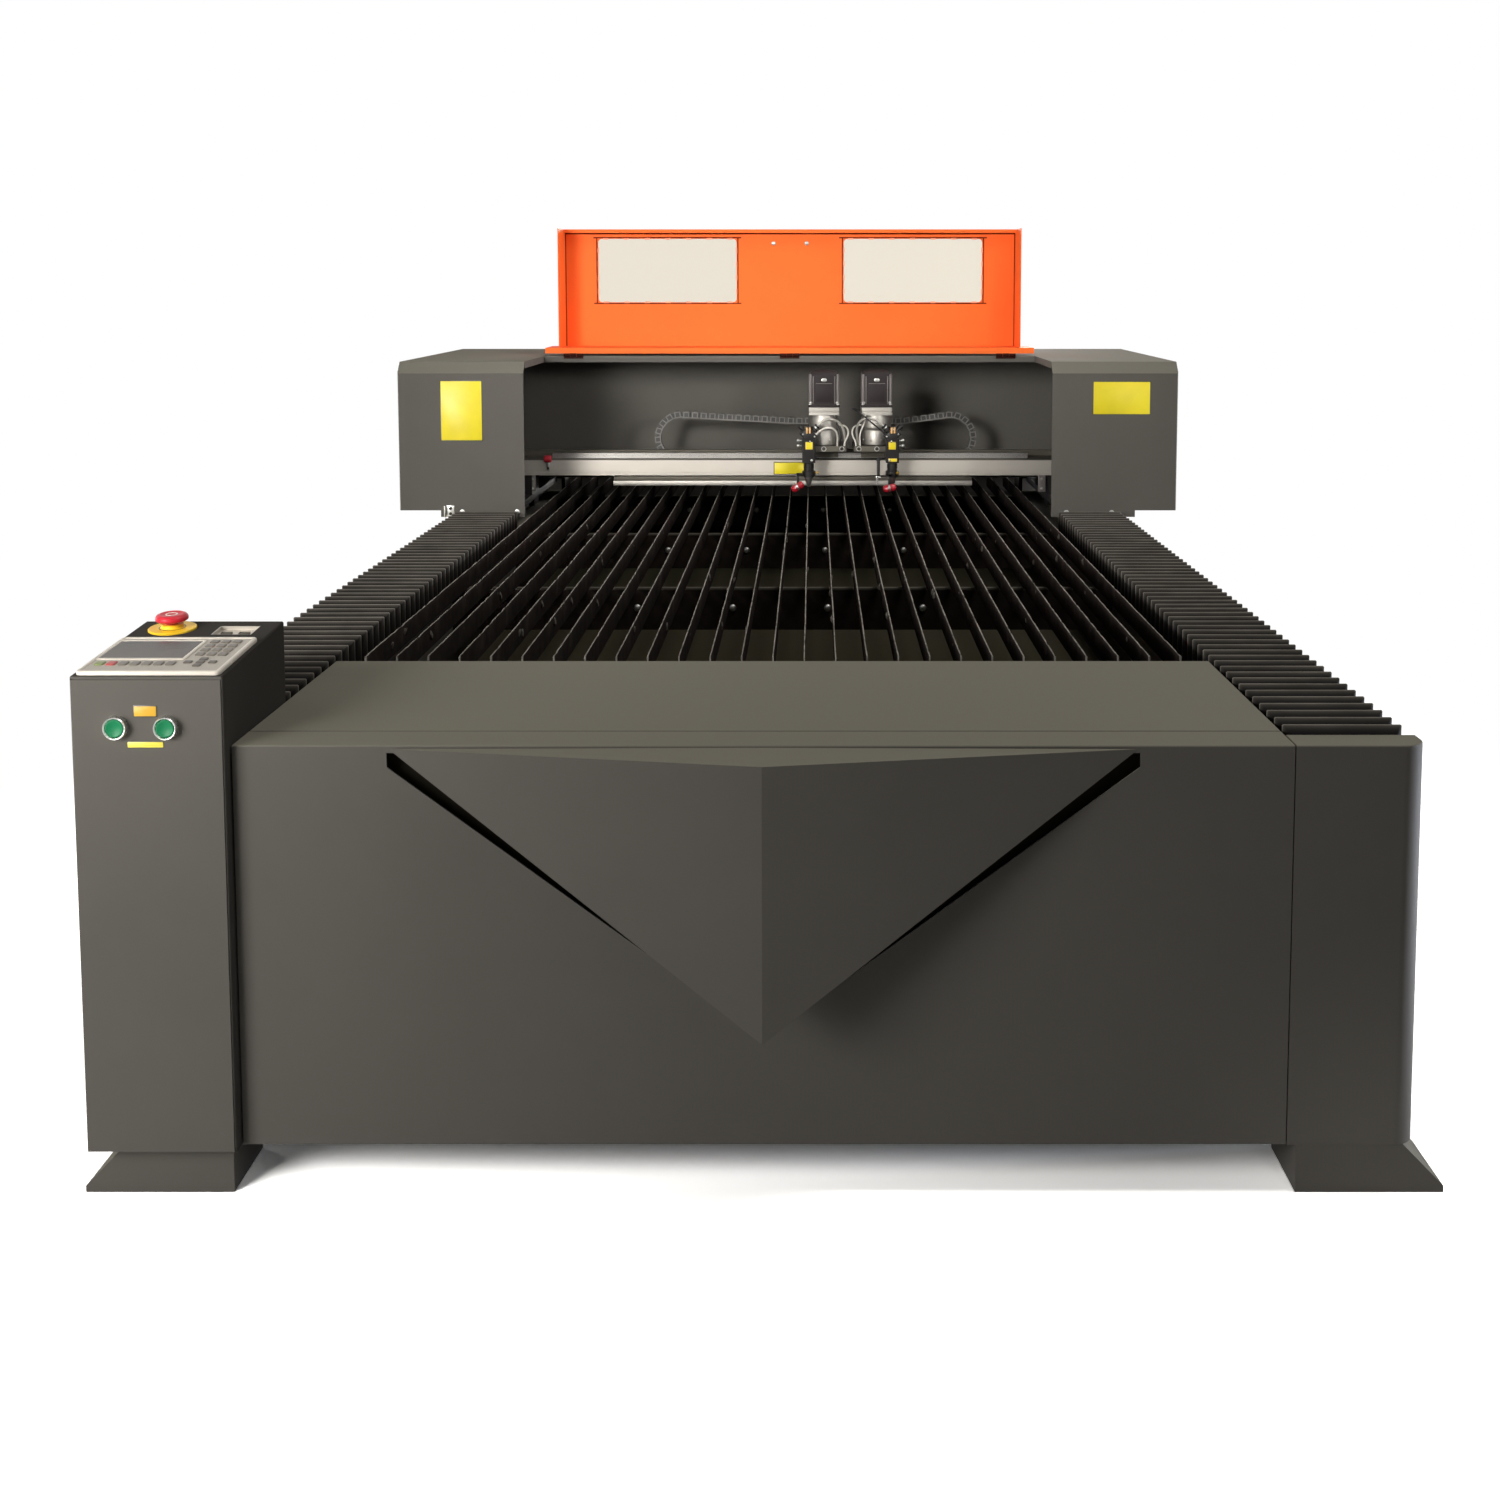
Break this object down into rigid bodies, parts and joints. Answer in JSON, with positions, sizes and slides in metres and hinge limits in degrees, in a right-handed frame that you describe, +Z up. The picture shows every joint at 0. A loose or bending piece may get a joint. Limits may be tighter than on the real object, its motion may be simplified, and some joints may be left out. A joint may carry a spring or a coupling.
{
  "type": "laser cutting machine",
  "caption": "Flat-bed gantry laser cutting machine with a blade bed, laser heads on a cross beam, pleated way covers, a flip-up windowed hood and a console cabinet.",
  "frame": {"origin": "centre of the bounding box's bottom, on the floor", "axes": "+Z up, +Y from the front panel to the rear, +X to the operator's right"},
  "size_m": [2.23, 3.658, 1.506],
  "materials": {
    "grey_paint": "satin powder coat",
    "orange_paint": "satin powder coat",
    "bezel_plastic": "fine texture",
    "display_glass": "gloss",
    "key_plastic": "satin",
    "aluminium": "brushed",
    "yellow_plastic": "satin",
    "red_plastic": "gloss",
    "green_plastic": "gloss",
    "chrome": "polished",
    "blade_steel": "scorched",
    "steel": "ground",
    "tray_paint": "dusty",
    "cover_fabric": "coated cloth",
    "galvanised": "galvanised",
    "clear_acrylic": "gloss",
    "tube_glass": "gloss",
    "motor_black": "satin",
    "black_plastic": "satin",
    "chain_plastic": "satin",
    "wire_plastic": "satin",
    "red_rubber": "matt"
  },
  "bodies": {
    "bed": {"front_panel": "grey_paint", "fascia": "grey_paint", "front_deck": "grey_paint", "control_cabinet": "grey_paint", "console_bezel": "bezel_plastic", "lcd_glass": "display_glass", "keypad_keys": "key_plastic", "port_panel": "aluminium", "estop_collar": "yellow_plastic", "button_bezels": "chrome", "right_post": "grey_paint", "side_beams": "grey_paint", "side_panels": "grey_paint", "rear_panel": "grey_paint", "legs": "grey_paint", "feet": "grey_paint", "bed_blades": "blade_steel", "blade_supports": "blade_steel", "support_bolts": "steel", "slag_tray": "tray_paint", "y_rails": "steel", "y_racks": "steel", "front_cover_left": "cover_fabric", "front_cover_right": "cover_fabric", "rear_cover_left": "cover_fabric", "rear_cover_right": "cover_fabric", "exhaust_spigots": "galvanised"},
    "gantry": {"housing_left": "grey_paint", "housing_right": "grey_paint", "top_cover": "grey_paint", "alcove_wall": "grey_paint", "cross_beam": "aluminium", "x_rail": "steel", "lower_bar": "aluminium", "end_stop": "red_rubber", "y_carriages": "aluminium", "y_motor": "motor_black", "laser_tubes": "tube_glass", "tube_holders": "black_plastic", "hinge_leaves": "steel"},
    "drive_shaft": {"y_drive_shaft": "steel"},
    "hood": {"hood_pan": "orange_paint", "hood_windows": "clear_acrylic"},
    "estop": {"estop_button": "red_plastic"},
    "start_left": {"start_button_left": "green_plastic"},
    "start_right": {"start_button_right": "green_plastic"},
    "left_head": {"left_carriage": "aluminium", "left_motor": "motor_black", "left_drive_module": "aluminium", "left_mirror_head": "black_plastic", "left_cable": "wire_plastic", "left_cable_chain": "chain_plastic"},
    "left_focus": {"left_lens_tube": "aluminium"},
    "right_head": {"right_carriage": "aluminium", "right_motor": "motor_black", "right_drive_module": "aluminium", "right_mirror_head": "black_plastic", "right_cable": "wire_plastic", "right_cable_chain": "chain_plastic"},
    "right_focus": {"right_lens_tube": "aluminium"}
  },
  "joints": [
    {"name": "gantry_travel", "type": "slide", "parent": "bed", "child": "gantry", "axis": [0, -1, 0], "range_m": [0, 1.8], "deforming": ["front_cover_left", "front_cover_right", "rear_cover_left", "rear_cover_right"]},
    {"name": "drive_shaft_turn", "type": "hinge", "parent": "gantry", "child": "drive_shaft", "pos_m": [0, 1.469, 0.7053], "axis": [1, 0, 0], "range_deg": [0, 2300]},
    {"name": "hood_flip", "type": "hinge", "parent": "gantry", "child": "hood", "pos_m": [0, 1.066, 1.118], "axis": [1, 0, 0], "range_deg": [0, 180]},
    {"name": "left_head_travel", "type": "slide", "parent": "gantry", "child": "left_head", "axis": [-1, 0, 0], "range_m": [0, 0.68]},
    {"name": "right_head_travel", "type": "slide", "parent": "gantry", "child": "right_head", "axis": [1, 0, 0], "range_m": [0, 0.33]},
    {"name": "left_focus_slide", "type": "slide", "parent": "left_head", "child": "left_focus", "axis": [0, 0, 1], "range_m": [-0.01, 0.01]},
    {"name": "right_focus_slide", "type": "slide", "parent": "right_head", "child": "right_focus", "axis": [0, 0, 1], "range_m": [-0.01, 0.01]},
    {"name": "estop_push", "type": "slide", "parent": "bed", "child": "estop", "axis": [0, 0.077, -0.997], "range_m": [0, 0.004]},
    {"name": "start_left_push", "type": "slide", "parent": "bed", "child": "start_left", "axis": [0, 1, 0], "range_m": [0, 0.003], "stiffness_N_per_m": 600, "springref_m": -0.004},
    {"name": "start_right_push", "type": "slide", "parent": "bed", "child": "start_right", "axis": [0, 1, 0], "range_m": [0, 0.003], "stiffness_N_per_m": 600, "springref_m": -0.004}
  ],
  "couplings": [
    {"joint": "drive_shaft_turn", "follows": "gantry_travel", "rad_per_m": 22.222}
  ]
}
